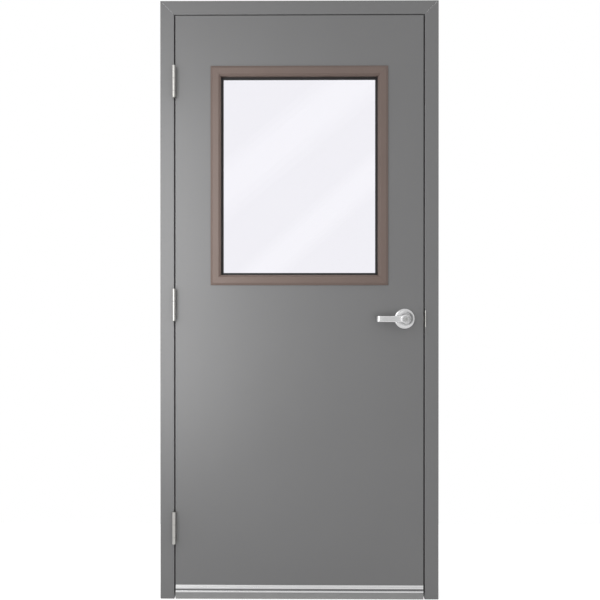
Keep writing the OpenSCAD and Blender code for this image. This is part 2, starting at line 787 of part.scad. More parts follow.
// VISION LITE

// A section swept round the sight opening with mitred corners; its points are [outward, y]
module mitred_ring(section) {
    n = len(section);
    corners = [[1, 1], [-1, 1], [-1, -1], [1, -1]];
    polyhedron(
        points = [for (c = corners, p = section)
            [c[0] * (sight_w / 2 + p[0]), p[1], lite_z + c[1] * (sight_h / 2 + p[0])]],
        faces = [for (k = [0 : 3], j = [0 : n - 1])
            [k * n + j, k * n + (j + 1) % n, ((k + 1) % 4) * n + (j + 1) % n, ((k + 1) % 4) * n + j]]);
}

// Glazing flange, reveal, inner bevel, flat face, outer bevel and edge of a folded lite frame
module lite_frame()
    mitred_ring(folded([
        [glass_bite, tape_front], [0, tape_front], [0, leaf_front - lite_edge / 2],
        [lite_inner_bevel, leaf_front - lite_proud], [lite_face - lite_outer_bevel, leaf_front - lite_proud],
        [lite_face, leaf_front - lite_edge], [lite_face, leaf_front]], lite_sheet, lite_bend));

// Places of the lite screws round the frame
LITE_SCREWS = concat(
    [for (i = [1 : lite_screw_columns], side = [-1, 1])
        [sight_w * (i / (lite_screw_columns + 1) - 0.5), side * (sight_h / 2 + lite_screw_u)]],
    [for (i = [1 : lite_screw_rows], side = [-1, 1])
        [side * (sight_w / 2 + lite_screw_u), sight_h * (i / (lite_screw_rows + 1) - 0.5)]]);

module at_lite_screws()
    for (place = LITE_SCREWS)
        translate([place[0], leaf_back + lite_proud, lite_z + place[1]]) rotate([90, 0, 0]) children();

module pull_lite_frame() color(BRONZE) lite_frame();

module push_lite_frame()
    color(BRONZE)
        difference() {
            flip_leaf() lite_frame();
            at_lite_screws()
                translate([0, 0, -cut]) cylinder(d = lite_screw_d + 2 * slip, h = lite_sheet + 2 * cut);
        }

module glass_pane()
    color(GLASS)
        translate([0, leaf_mid, lite_z]) cube([glass_w, glass_t, glass_h], center = true);

module tape()
    color(RUBBER)
        translate([0, tape_front + tape_t / 2, lite_z])
            difference() {
                cube([glass_w, tape_t, glass_h], center = true);
                cube([sight_w - 2 * tape_lip, tape_t + 2 * cut, sight_h - 2 * tape_lip], center = true);
            }

module pull_tape() tape();
module push_tape() flip_leaf() tape();

// Rubber blocks that carry the glass on the lower edge of the cut-out
module setting_blocks()
    color(RUBBER)
        for (side = [-1, 1])
            translate([side * block_x - block_l / 2, leaf_mid - glass_t / 2, lite_low])
                cube([block_l, glass_t, sight_inset - glass_bite]);

module lite_screws()
    color(BRONZE)
        at_lite_screws()
            pan_head(lite_screw_d, lite_screw_head, lite_screw_head_h,
                leaf_t + 2 * lite_proud - lite_sheet - fit);

// SWEEP

// Screwed to the pull face: a grooved aluminium band above a jaw that grips the fin
module sweep_retainer()
    color(ALUMINIUM)
        difference() {
            translate([-leaf_half + sweep_end, leaf_front, retainer_low])
                mirror([0, 1, 0])
                    multmatrix([[0, 0, 1, 0], [1, 0, 0, 0], [0, 1, 0, 0], [0, 0, 0, 1]])
                        linear_extrude(2 * (leaf_half - sweep_end))
                            polygon(retainer_outline());
            at_sweep_screws()
                sweep_screw_hole();
        }

// Points are [distance from the leaf's face, height above the retainer's lower edge]
function retainer_outline() =
    let (
        shelf = jaw_h + groove_h,
        middle = (shelf + retainer_h) / 2,
        soft = 0.8
    )
    [[0, 0], [fin_slot, 0], [fin_slot, jaw_h - 1.4], [fin_slot + fin_t + 2 * slip, jaw_h - 1.4],
        [fin_slot + fin_t + 2 * slip, 0], [jaw_proud, 0], [jaw_proud, jaw_h - soft], [jaw_proud - soft, jaw_h],
        [retainer_back, jaw_h], [retainer_back, shelf], [retainer_face - soft, shelf],
        [retainer_face, shelf + soft], [retainer_face, middle - soft], [retainer_face - soft, middle],
        [retainer_face, middle + soft], [retainer_face, retainer_h - soft],
        [retainer_face - soft, retainer_h], [0, retainer_h]];

// A flexible blade that fills the gap down to the floor and flares a little at its lower edge
module sweep_fin()
    color(VINYL)
        translate([-leaf_half + sweep_end, leaf_front, 0])
            mirror([0, 1, 0])
                multmatrix([[0, 0, 1, 0], [1, 0, 0, 0], [0, 1, 0, 0], [0, 0, 0, 1]])
                    linear_extrude(2 * (leaf_half - sweep_end))
                        polygon([
                            [fin_slot + slip, retainer_low + jaw_h - 1.4 - slip],
                            [fin_slot + slip, fin_clear + 6], [fin_slot + fin_t / 2, fin_clear],
                            [fin_slot + 1.5 * fin_t, fin_clear], [fin_slot + fin_t + slip, fin_clear + 6],
                            [fin_slot + fin_t + slip, retainer_low + jaw_h - 1.4 - slip]]);

module at_sweep_screws()
    for (i = [0 : sweep_screws - 1])
        translate([(i - (sweep_screws - 1) / 2) * sweep_screw_pitch, leaf_front - retainer_back,
            retainer_low + jaw_h + groove_h / 2])
            toward_y() children();

// Hole through the retainer, the skin and the channel behind it
module sweep_screw_hole()
    translate([0, 0, -cut]) cylinder(d = sweep_screw_d + 2 * slip, h = sweep_screw_l + cut);

module sweep_screws()
    color(ALUMINIUM)
        at_sweep_screws() pan_head(sweep_screw_d, sweep_screw_head, sweep_screw_head_h, sweep_screw_l);

// LOCK

// Body of the lock in its bore, with a hub at each side for the spindles and a slot for the latch's tail
module lock_chassis()
    color(STEEL)
        lock_axis()
            difference() {
                union() {
                    translate([0, leaf_front + fit, 0])
                        toward_y() cylinder(d = chassis_d, h = leaf_t - 2 * fit);
                    translate([0, leaf_front - rose_h, 0])
                        toward_y() cylinder(d = spindle_d + 2 * spindle_wall, h = leaf_t + 2 * rose_h);
                }
                translate([0, leaf_front - rose_h - cut, 0])
                    toward_y() cylinder(d = spindle_d + 2 * fit, h = rose_h + spindle_seat + cut);
                translate([0, leaf_back - spindle_seat, 0])
                    toward_y() cylinder(d = spindle_d + 2 * fit, h = rose_h + spindle_seat + cut);
                translate([-bolt_throw - 4, bolt_front - 1, -pocket_h / 2])
                    cube([chassis_d, bolt_w + 2, pocket_h]);
            }

// Front plate and tube of the latch, with a pocket for the bolt and the plunger
module latch_case() {
    tube_start = lock_x + chassis_d / 2 + fit;
    color(SATIN)
        difference() {
            union() {
                translate([leaf_half - latch_plate_t, leaf_mid - latch_plate_w / 2, lock_z - latch_plate_h / 2])
                    cube([latch_plate_t, latch_plate_w, latch_plate_h]);
                translate([tube_start, leaf_mid, lock_z])
                    toward_x(1) cylinder(d = latch_tube_d, h = leaf_half - latch_plate_t - tube_start);
            }
            translate([tube_start - cut, plunger_front - fit, lock_z - pocket_h / 2])
                cube([leaf_half - tube_start + 2 * cut, bolt_back - plunger_front + 2 * fit, pocket_h]);
            for (side = [-1, 1])
                translate([leaf_half, leaf_mid, lock_z + side * latch_screw_z])
                    toward_x(-1) countersunk(latch_screw_d, latch_screw_head, latch_screw_head_h,
                        latch_plate_t + cut, slip);
        }
}

module latch_screws()
    color(SATIN)
        for (side = [-1, 1])
            translate([leaf_half - slip, leaf_mid, lock_z + side * latch_screw_z])
                toward_x(-1) countersunk(latch_screw_d, latch_screw_head, latch_screw_head_h, latch_screw_l);

// The bolt's nose is bevelled towards the stop, and its tail reaches the retractor in the chassis
module latch_bolt() {
    tail = lock_x + bolt_throw / 2;
    shoulder = lock_x + chassis_d / 2 + fit + bolt_throw + 2;
    nose = leaf_half + bolt_throw;
    color(SATIN)
        translate([0, 0, lock_z]) {
            translate([0, 0, -bolt_h / 2])
                linear_extrude(bolt_h)
                    polygon(concat(
                        [[shoulder, bolt_back], [shoulder, bolt_front], [nose - 1, bolt_front],
                            [nose, bolt_front + 1], [nose, bolt_front + 2.5]],
                        [[nose - bolt_throw * 0.4, bolt_back - 2.6], [leaf_half + 1, bolt_back]]));
            translate([tail, bolt_front + 2, -bolt_h / 4])
                cube([shoulder - tail, bolt_w - 4, bolt_h / 2]);
        }
}

module deadlatch_plunger() {
    start = lock_x + chassis_d / 2 + bolt_throw + 8;
    color(SATIN)
        translate([0, 0, lock_z - plunger_h / 2])
            linear_extrude(plunger_h)
                polygon([[start, plunger_front + plunger_w], [start, plunger_front],
                    [leaf_half + plunger_out - 1.5, plunger_front],
                    [leaf_half + plunger_out, plunger_front + 1.5],
                    [leaf_half + plunger_out, plunger_front + plunger_w]]);
}

// A domed ring over the bore, seated on the skin; distances run outwards from the skin
module rose() {
    bore_r = spindle_d / 2 + spindle_wall + fit;
    rotate_extrude()
        polygon(concat(
            [[bore_r, 0], [rose_d / 2, 0]],
            [for (p = arc([0, 0], 1, 0, 90))
                [rose_crown + p[0] * (rose_d / 2 - rose_crown), rose_rim + p[1] * (rose_h - rose_rim)]],
            [[bore_r, rose_h]]));
}

// Stands children that point along +Z on the pull side (-1) or push side (+1) of the leaf at the lock
module off_leaf(side)
    translate([lock_x, side > 0 ? leaf_back : leaf_front, lock_z])
        rotate([side > 0 ? -90 : 90, 0, 0]) children();

module outside_rose() color(SATIN) off_leaf(-1) rose();
module inside_rose() color(SATIN) off_leaf(1) rose();

// Closed loft through rings that have equally many points
module loft(rings) {
    n = len(rings[0]);
    last = len(rings) - 1;
    polyhedron(
        points = [for (ring = rings) each ring],
        faces = concat(
            [[for (j = [0 : n - 1]) j]],
            [[for (j = [n - 1 : -1 : 0]) last * n + j]],
            [for (i = [0 : last - 1], j = [0 : n - 1])
                [i * n + j, (i + 1) * n + j, (i + 1) * n + (j + 1) % n, i * n + (j + 1) % n]]));
}

// Ring of a lever's arm at a point of its centre line, given as [x, distance from the skin]
function arm_ring(centre, heading, half_t, half_h) =
    [for (j = [0 : lever_sides - 1])
        let (
            angle = 360 * j / lever_sides,
            across = half_t * sign(cos(angle)) * pow(abs(cos(angle)), 0.7),
            up = half_h * sign(sin(angle)) * pow(abs(sin(angle)), 0.7)
        )
        [centre[0] + across * sin(heading), centre[1] + across * cos(heading), up]];

// Straight stretch flaring into the hub, then the return that bends towards the leaf
function arm_rings() =
    let (
        bend_x = -(lever_l - lever_t / 2 - lever_return_r),
        bend_y = arm_proud - lever_return_r,
        near = -hub_d / 5,
        tip = 7
    )
    concat(
        [for (k = [0 : lever_stations])
            let (f = k / lever_stations)
            arm_ring([near + (bend_x - near) * f, arm_proud], 0,
                lever_t / 2 * (1 + 0.25 * pow(1 - f, 3)), lever_h / 2 * (1 + 0.35 * pow(1 - f, 4)))],
        [for (k = [1 : lever_stations])
            let (turn = 90 * k / lever_stations)
            arm_ring([bend_x - lever_return_r * sin(turn), bend_y + lever_return_r * cos(turn)], -turn,
                lever_t / 2, lever_h / 2)],
        [for (k = [1 : 4])
            let (turn = 90 * k / 4.5)
            arm_ring([bend_x - lever_return_r, bend_y - tip * sin(turn)], -90,
                lever_t / 2 * (0.35 + 0.65 * cos(turn)), lever_h / 2 * (0.55 + 0.45 * cos(turn)))]);

// Turned hub with a waist behind a crowned front, on its spindle tube, with the arm lofted from its side
module lever()
    union() {
        rotate_extrude()
            polygon(concat(
                [[0, 2 - spindle_seat], [spindle_d / 2, 2 - spindle_seat], [spindle_d / 2, hub_start],
                    [hub_d / 2 + 1.5, hub_start],
                    [hub_d / 2 + 1.5, hub_start + 3], [hub_d / 2 - 1.5, hub_start + 12],
                    [hub_d / 2 - 1, hub_proud - 18], [hub_d / 2, hub_proud - 12]],
                arc([hub_d / 2 - 5, hub_proud - 5], 5, 0, 90),
                [[0, hub_proud]]));
        loft([for (ring = arm_rings()) [for (p = ring) [p[0], p[2], p[1]]]]);
    }

// Pocket for the key cylinder in the outside lever's hub
module cylinder_pocket(grow)
    translate([0, 0, hub_proud - cylinder_l - grow])
        cylinder(d = cylinder_d + 2 * grow, h = cylinder_l + 2 * cut);

module outside_lever()
    color(SATIN)
        off_leaf(-1)
            difference() {
                lever();
                cylinder_pocket(run_clear);
            }

module inside_lever()
    color(SATIN)
        off_leaf(1) mirror([0, 1, 0]) lever();

// Shell of the key cylinder, flush with the lever's front, bored for the plug
module key_cylinder()
    color(SATIN)
        off_leaf(-1)
            difference() {
                translate([0, 0, hub_proud - cylinder_l])
                    cylinder(d = cylinder_d, h = cylinder_l + cylinder_proud);
                translate([0, 0, hub_proud - key_plug_l])
                    cylinder(d = plug_d + 2 * run_clear, h = key_plug_l + 2 * cut);
            }

// The plug, with an upright keyway in its face
module key_plug()
    color(STEEL)
        off_leaf(-1)
            translate([0, 0, hub_proud - key_plug_l])
                difference() {
                    cylinder(d = plug_d, h = key_plug_l + key_plug_proud);
                    translate([-keyway_w / 2, -keyway_h / 2, key_plug_l - keyway_l])
                        cube([keyway_w, keyway_h, keyway_l + cut]);
                }

hinge_jamb();
strike_jamb();
head();
hinge_jamb_clip();
strike_jamb_clip();
jamb_hinge_plates();
strike_reinforcement();
strike_box();
strike_plate();
strike_screws();
silencers();
for (i = [0 : 2]) {
    frame_leaf(i);
    door_leaf(i);
    pin(i);
    bearings(i);
}
hinge_plugs();
frame_hinge_screws();
door_hinge_screws();
pull_skin();
push_skin();
top_channel();
bottom_channel();
hinge_side_stiffener();
lock_side_stiffener();
lower_stiffeners();
upper_stiffeners();
lite_sill_channel();
lite_head_channel();
leaf_hinge_plates();
lock_reinforcement();
pull_lite_frame();
push_lite_frame();
glass_pane();
pull_tape();
push_tape();
setting_blocks();
lite_screws();
sweep_retainer();
sweep_fin();
sweep_screws();
lock_chassis();
latch_case();
latch_screws();
latch_bolt();
deadlatch_plunger();
outside_rose();
inside_rose();
outside_lever();
inside_lever();
key_cylinder();
key_plug();
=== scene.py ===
# A glazed steel door hung in its folded steel frame, seen square on in a plain white studio.
import json
import math

import bpy
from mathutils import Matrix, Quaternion, Vector


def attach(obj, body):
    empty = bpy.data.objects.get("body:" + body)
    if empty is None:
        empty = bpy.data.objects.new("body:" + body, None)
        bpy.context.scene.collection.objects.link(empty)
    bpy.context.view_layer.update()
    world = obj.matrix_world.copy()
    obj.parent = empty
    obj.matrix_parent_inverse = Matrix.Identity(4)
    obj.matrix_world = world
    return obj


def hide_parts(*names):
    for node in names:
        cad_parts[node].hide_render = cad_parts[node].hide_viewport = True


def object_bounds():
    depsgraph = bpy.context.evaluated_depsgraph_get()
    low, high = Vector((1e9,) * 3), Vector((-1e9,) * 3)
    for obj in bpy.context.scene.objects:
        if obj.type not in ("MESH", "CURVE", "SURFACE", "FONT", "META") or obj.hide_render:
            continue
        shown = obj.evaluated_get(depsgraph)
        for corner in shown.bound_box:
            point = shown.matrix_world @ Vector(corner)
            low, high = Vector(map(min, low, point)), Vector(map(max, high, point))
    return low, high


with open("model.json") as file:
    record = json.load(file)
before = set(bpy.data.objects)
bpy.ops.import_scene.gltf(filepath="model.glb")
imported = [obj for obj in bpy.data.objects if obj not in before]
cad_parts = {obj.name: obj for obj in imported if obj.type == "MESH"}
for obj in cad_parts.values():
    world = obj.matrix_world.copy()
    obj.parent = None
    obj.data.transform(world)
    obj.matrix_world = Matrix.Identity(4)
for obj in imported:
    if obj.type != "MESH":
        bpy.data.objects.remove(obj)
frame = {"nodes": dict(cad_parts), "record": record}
cad_low, cad_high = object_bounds()
scene = bpy.context.scene

# Viewpoint
# The picture is taken square to the door from three metres away, a little to the right of its middle
# and at half its height, through a normal lens.
eye = Vector((0.0285, -3.0405, 1.0997))
aim = Vector((0.0025, 0, 1.0922))
viewpoint_data = bpy.data.cameras.new("viewpoint")
viewpoint_data.lens = 50
viewpoint_data.sensor_width = 36
viewpoint = bpy.data.objects.new("viewpoint", viewpoint_data)
scene.collection.objects.link(viewpoint)
viewpoint.location = eye
viewpoint.rotation_euler = (aim - eye).to_track_quat("-Z", "Y").to_euler()
scene.camera = viewpoint

# Jambs and head
# Three lengths of steel sheet folded into a rabbeted section that wraps the wall, mitred and welded at the
# corners. They are sprayed with a satin grey paint that keeps a faint orange peel.
nodes = frame["nodes"]
mm = 0.001


class Wire:
    """A value in a node tree. Sums and products of wires add Math nodes."""

    def __init__(self, tree, socket=None):
        self.tree = tree
        self.socket = socket

    def node(self, kind, settings=None, values=None, output=0):
        """Adds a node, sets it up, gives its sockets their values or links, and returns one output."""
        made = self.tree.nodes.new(kind)
        for name, value in (settings or {}).items():
            setattr(made, name, value)
        for name, value in (values or {}).items():
            if isinstance(value, Wire):
                self.tree.links.new(value.socket, made.inputs[name])
            else:
                made.inputs[name].default_value = value
        return Wire(self.tree, made.outputs[output])

    def sum_of(self, operation, *terms):
        return self.node("ShaderNodeMath", {"operation": operation}, dict(enumerate(terms)))

    def __add__(self, other):
        return self.sum_of("ADD", self, other)

    def __radd__(self, other):
        return self.sum_of("ADD", other, self)

    def __sub__(self, other):
        return self.sum_of("SUBTRACT", self, other)

    def __rsub__(self, other):
        return self.sum_of("SUBTRACT", other, self)

    def __mul__(self, other):
        return self.sum_of("MULTIPLY", self, other)

    def __rmul__(self, other):
        return self.sum_of("MULTIPLY", other, self)

    def size(self):
        return self.sum_of("ABSOLUTE", self)

    def near(self, other, reach):
        """1 where this value is within reach of another, and 0 elsewhere."""
        return self.sum_of("COMPARE", self, other, reach)

    def axis(self, number):
        """One coordinate of a place: 0 across, 1 deep or 2 up."""
        return self.node("ShaderNodeSeparateXYZ", None, {"Vector": self}, output=number)

    def noise(self, scale, detail=2.0, stretch=(1, 1, 1)):
        """Cloudy noise over this place, with its grain drawn out by stretch."""
        drawn = self.node("ShaderNodeMapping", None, {"Vector": self, "Scale": stretch})
        return self.node("ShaderNodeTexNoise", None, {"Vector": drawn, "Scale": scale, "Detail": detail})

    def between(self, low, high):
        """A colour that goes from low to high, each a colour or a wire, as this value goes from 0 to 1."""
        ends = [end if isinstance(end, Wire) else (*end, 1) for end in (low, high)]
        settings = {"data_type": "RGBA", "clamp_factor": True}
        return self.node("ShaderNodeMix", settings, {0: self, 6: ends[0], 7: ends[1]}, output=2)

    def bump(self, depth):
        """A normal raised by this height, with depth in metres."""
        return self.node("ShaderNodeBump", None, {"Height": self, "Distance": depth})


def new_finish(name, constants=None):
    """A material with a Principled shader, its constant sockets set, and the piece's own coordinates."""
    material = bpy.data.materials.new(name)
    material.use_nodes = True
    shader = material.node_tree.nodes["Principled BSDF"]
    for socket, value in (constants or {}).items():
        shader.inputs[socket].default_value = value
    place = Wire(material.node_tree).node("ShaderNodeTexCoord", output=3)
    return material, shader, place


def feed(shader, wires):
    """Links wires to a shader's sockets."""
    for socket, wire in wires.items():
        wire.tree.links.new(wire.socket, shader.inputs[socket])


def linear(*levels):
    """A colour written as the eye sees it, from 0 to 255, in the shader's linear scale."""
    shares = [level / 255 for level in levels]
    return tuple(s / 12.92 if s <= 0.04045 else ((s + 0.055) / 1.055) ** 2.4 for s in shares)


grey_paint, shader, place = new_finish("grey_satin_paint")
cloud = place.noise(2.5, detail=3.0)
peel = place.noise(420, detail=2.0)
feed(shader, {"Base Color": cloud.between(linear(108, 108, 108.5), linear(114, 114, 114.5)),
              "Roughness": 0.44 + 0.06 * cloud, "Normal": peel.bump(0.02 * mm)})

body_of = {}
for body, members in frame["record"]["behaviour"]["bodies"].items():
    for member in members:
        body_of[member] = body


def only(piece):
    """Selects one piece and makes it the active one."""
    bpy.ops.object.select_all(action="DESELECT")
    piece.select_set(True)
    bpy.context.view_layer.objects.active = piece


def apply(piece, kind, **settings):
    """Adds a modifier to a piece and applies it."""
    step = piece.modifiers.new("step", kind)
    for name, value in settings.items():
        setattr(step, name, value)
    only(piece)
    bpy.ops.object.modifier_apply(modifier=step.name)


def shade(piece, crease=35):
    """Shades a piece's curves smooth and keeps its flats flat."""
    only(piece)
    bpy.ops.object.shade_smooth_by_angle(angle=math.radians(crease))
    apply(piece, "WEIGHTED_NORMAL", keep_sharp=True)


def eased_copy(node, radius, steps=2):
    """A copy of a CAD node with its triangles merged to clean faces and its sharp edges rounded."""
    piece = bpy.data.objects.new(node + "_piece", nodes[node].data.copy())
    scene.collection.objects.link(piece)
    only(piece)
    bpy.ops.mesh.customdata_custom_splitnormals_clear()
    bpy.ops.object.mode_set(mode="EDIT")
    bpy.ops.mesh.select_all(action="SELECT")
    bpy.ops.mesh.remove_doubles(threshold=0.005 * mm)
    bpy.ops.mesh.dissolve_limited(angle_limit=math.radians(0.5))
    bpy.ops.object.mode_set(mode="OBJECT")
    apply(piece, "BEVEL", limit_method="ANGLE", angle_limit=math.radians(40), width=radius, segments=steps)
    shade(piece)
    return piece


def fit(piece, finish, *stood_for):
    """Gives a piece its finish and lets it stand for CAD nodes, riding where the first of them rides."""
    piece.data.materials.clear()
    piece.data.materials.append(finish)
    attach(piece, body_of[stood_for[0]])
    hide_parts(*stood_for)


sheet_edge = 0.25 * mm
for node in ("hinge_jamb", "strike_jamb", "head"):
    fit(eased_copy(node, sheet_edge), grey_paint, node)

# Clips, plates and boxes in the frame
# Steel stampings welded inside the jambs: the floor clips, the plates behind the hinges and the strike, and
# the box that keeps plaster out of the latch's hole. They are left in a dull grey primer.


def dress(finish, *names):
    """Gives CAD nodes a finish."""
    for name in names:
        surfaces = nodes[name].data.materials
        surfaces.clear()
        surfaces.append(finish)


primer, shader, place = new_finish("grey_primer")
cloud = place.noise(9, detail=4.0)
grit = place.noise(700, detail=2.0)
feed(shader, {"Base Color": cloud.between(linear(84, 84, 85), linear(98, 98, 98)),
              "Roughness": 0.62 + 0.1 * cloud, "Normal": grit.bump(0.02 * mm)})
dress(primer, "hinge_jamb_clip", "strike_jamb_clip", "jamb_hinge_plates", "strike_reinforcement",
      "strike_box")

# Silencers
# Black rubber bumpers pushed into holes in the strike jamb's stop, which take the leaf when it closes.
rubber, shader, place = new_finish("black_rubber")
cloud = place.noise(60, detail=3.0)
grain = place.noise(1500, detail=2.0)
feed(shader, {"Base Color": cloud.between(linear(26, 25, 26), linear(38, 37, 38)),
              "Roughness": 0.55 + 0.15 * cloud, "Normal": grain.bump(0.02 * mm)})
fit(eased_copy("silencers", 0.5 * mm, steps=3), rubber, "silencers")

# Hinges
# Three bearing butt hinges of satin steel. Each has two plates let into the jamb and the leaf, with knuckles
# rolled round a pin, thin bearings between the knuckles and a button at each end of the pin.
satin_steel, shader, place = new_finish("satin_steel", {"Metallic": 1.0})
brush = place.noise(700, detail=3.0, stretch=(1, 1, 0.02))
feed(shader, {"Base Color": brush.between(linear(168, 167, 164), linear(188, 187, 183)),
              "Roughness": 0.24 + 0.14 * brush, "Normal": brush.bump(0.01 * mm)})
bare_steel, shader, place = new_finish("bare_steel", {"Metallic": 1.0})
scuff = place.noise(300, detail=4.0)
feed(shader, {"Base Color": scuff.between(linear(150, 149, 147), linear(176, 175, 172)),
              "Roughness": 0.28 + 0.2 * scuff, "Normal": scuff.bump(0.01 * mm)})
hinge_heights = {"top": 1885.95 * mm, "middle": 1074.725 * mm, "bottom": 263.5 * mm}
for hinge in hinge_heights:
    for node in ("frame_leaf_" + hinge, "door_leaf_" + hinge):
        fit(eased_copy(node, 0.4 * mm, steps=3), satin_steel, node)
    fit(eased_copy("pin_" + hinge, 0.3 * mm), satin_steel, "pin_" + hinge)
    fit(eased_copy("bearings_" + hinge, 0.25 * mm), bare_steel, "bearings_" + hinge)
fit(eased_copy("hinge_plugs", 0.3 * mm), satin_steel, "hinge_plugs")

# Hinge screws
# Flat-head machine screws with a cross recess, four in each hinge plate, driven into the plates behind.


def settle(piece):
    """Puts a piece's place and turn into its mesh."""
    only(piece)
    bpy.ops.object.transform_apply(location=True, rotation=True, scale=True)


def turned(name, rings, sides=32, bored=False):
    """A piece turned about Z: a disc drawn out from ring to ring, each a radius and a height in millimetres.
    A bored piece starts from a bare ring instead and closes on itself."""
    radius, height = rings[0]
    bpy.ops.object.select_all(action="DESELECT")
    bpy.ops.mesh.primitive_circle_add(vertices=sides, radius=radius * mm, location=(0, 0, height * mm),
                                      fill_type="NOTHING" if bored else "NGON")
    piece = bpy.context.object
    piece.name = name
    bpy.ops.object.mode_set(mode="EDIT")
    for next_radius, next_height in rings[1:]:
        rise = (next_height - height) * mm
        size = next_radius / radius
        if bored:
            bpy.ops.mesh.extrude_edges_move(TRANSFORM_OT_translate={"value": (0, 0, rise)})
        else:
            bpy.ops.mesh.extrude_region_move(TRANSFORM_OT_translate={"value": (0, 0, rise)})
        bpy.ops.transform.resize(value=(size, size, 1), center_override=(0, 0, next_height * mm))
        radius, height = next_radius, next_height
    if bored:
        bpy.ops.mesh.select_all(action="DESELECT")
        bpy.ops.mesh.select_mode(type="EDGE")
        bpy.ops.mesh.select_non_manifold()
        bpy.ops.mesh.bridge_edge_loops()
    bpy.ops.mesh.select_all(action="SELECT")
    bpy.ops.mesh.normals_make_consistent(inside=False)
    bpy.ops.object.mode_set(mode="OBJECT")
    settle(piece)
    return piece


def pick(piece, test):
    """Opens a piece and selects its faces whose centre passes a test."""
    only(piece)
    bpy.ops.object.mode_set(mode="EDIT")
    bpy.ops.mesh.select_mode(type="FACE")
    bpy.ops.mesh.select_all(action="DESELECT")
    bpy.ops.object.mode_set(mode="OBJECT")
    for face in piece.data.polygons:
        face.select = test(face.center)
    bpy.ops.object.mode_set(mode="EDIT")


def block(name, size, middle, foot=1.0):
    """A block of a size in millimetres about its middle, its lower end drawn in by foot."""
    bpy.ops.object.select_all(action="DESELECT")
    bpy.ops.mesh.primitive_cube_add(size=1, location=[v * mm for v in middle])
    piece = bpy.context.object
    piece.name = name
    piece.scale = [v * mm for v in size]
    settle(piece)
    low = (middle[2] - size[2] / 2) * mm
    pick(piece, lambda centre: centre.z < low + 0.01 * mm)
    centre = (middle[0] * mm, middle[1] * mm, low)
    bpy.ops.transform.resize(value=(foot, foot, 1), center_override=centre)
    bpy.ops.object.mode_set(mode="OBJECT")
    return piece


def cut_out(piece, tool):
    """Cuts one piece's form out of another and throws the tool away."""
    apply(piece, "BOOLEAN", operation="DIFFERENCE", object=tool, solver="EXACT")
    bpy.data.objects.remove(tool)


def cross_screw(name, head_rings, shank, length, head_h, recess):
    """A screw along +Z with its head at the top: a threaded shank under a head given by its rings, with a
    cross recess."""
    pitch = shank / 5
    crest = shank / 2
    root = shank * 0.42
    tip = shank * 0.12
    thread = []
    height = 1.2 * crest - length
    while height + pitch < -head_h:
        thread += [(root, height), (crest, height + pitch / 2)]
        height += pitch
    screw = turned(name, [(tip, -length)] + thread + [(crest, -head_h)] + head_rings)
    top = head_rings[-1][1]
    wing = recess * 0.27
    for along, across in ((recess, wing), (wing, recess)):
        cut_out(screw, block("recess", (along, across, recess), (0, 0, top), foot=0.55))
    shade(screw, crease=30)
    return screw


def flat_screw(name, shank, head, head_h, length):
    """A countersunk screw whose head is flush with the surface at height 0."""
    rim = head / 2
    rings = [(rim, -0.2), (rim, -0.05), (rim - 0.1, 0)]
    return cross_screw(name, rings, shank, length, head_h, recess=head * 0.56)


def place_screws(node, pattern, finish, places, outward):
    """Copies a screw to its places, with its head outward, as one piece that stands for a node, and throws
    the pattern away."""
    screws = []
    for place in places:
        screw = pattern.copy()
        screw.data = pattern.data.copy()
        scene.collection.objects.link(screw)
        screw.rotation_euler = Vector(outward).to_track_quat("Z", "Y").to_euler()
        screw.location = place
        settle(screw)
        screws.append(screw)
    only(screws[0])
    for screw in screws:
        screw.select_set(True)
    bpy.ops.object.join()
    screws[0].name = node + "_piece"
    fit(screws[0], finish, node)
    bpy.data.objects.remove(pattern)


jamb_edge = -457.2 * mm
leaf_edge = -453.4 * mm
outer_screw = {"depth": 12.7 * mm, "rise": 43.15 * mm}
inner_screw = {"depth": 28.7 * mm, "rise": 16.15 * mm}
for node, edge, facing in (("frame_hinge_screws", jamb_edge, 1), ("door_hinge_screws", leaf_edge, -1)):
    hinge_screw_places = []
    for height in hinge_heights.values():
        for screw in (outer_screw, inner_screw):
            for side in (1, -1):
                hinge_screw_places.append((edge, screw["depth"], height + side * screw["rise"]))
    hinge_screw = flat_screw("hinge_screw", shank=5.4, head=9.6, head_h=2.6, length=12)
    place_screws(node, hinge_screw, satin_steel, hinge_screw_places, (facing, 0, 0))

# Steel inside the leaf
# Channels along the leaf's ends and round the lite, upright stiffeners welded to the skins, and the plates
# that take the hinges and the lock. All of it is in the same primer.
dress(primer, "top_channel", "bottom_channel", "hinge_side_stiffener", "lock_side_stiffener",
      "lower_stiffeners", "upper_stiffeners", "lite_sill_channel", "lite_head_channel", "leaf_hinge_plates",
      "lock_reinforcement")

# Skins of the leaf
# Two steel sheets folded round the leaf's edges, which meet in a seam down each edge, in the frame's paint.
for node in ("pull_skin", "push_skin"):
    fit(eased_copy(node, sheet_edge), grey_paint, node)

# Lite frames
# Two mitred frames of bevelled steel that clamp the glass from both faces of the leaf, in a bronze powder
# coat with a hairline at each mitre.
lite_middle = 1546.2 * mm
sight_w = 573 * mm
sight_h = 725.4 * mm
hairline = 0.2 * mm
bronze, shader, place = new_finish("bronze_powder_coat")
cloud = place.noise(6, detail=3.0)
grit = place.noise(900, detail=2.0)
past_side = place.axis(0).size() - sight_w / 2
past_end = (place.axis(2) - lite_middle).size() - sight_h / 2
mitre = past_side.near(past_end, hairline)
coat = cloud.between(linear(102, 87, 80), linear(110, 94, 87))
feed(shader, {"Base Color": mitre.between(coat, linear(54, 46, 42)),
              "Roughness": 0.42 + 0.08 * cloud, "Normal": (grit - 4 * mitre).bump(0.03 * mm)})
for node in ("pull_lite_frame", "push_lite_frame"):
    fit(eased_copy(node, sheet_edge), bronze, node)

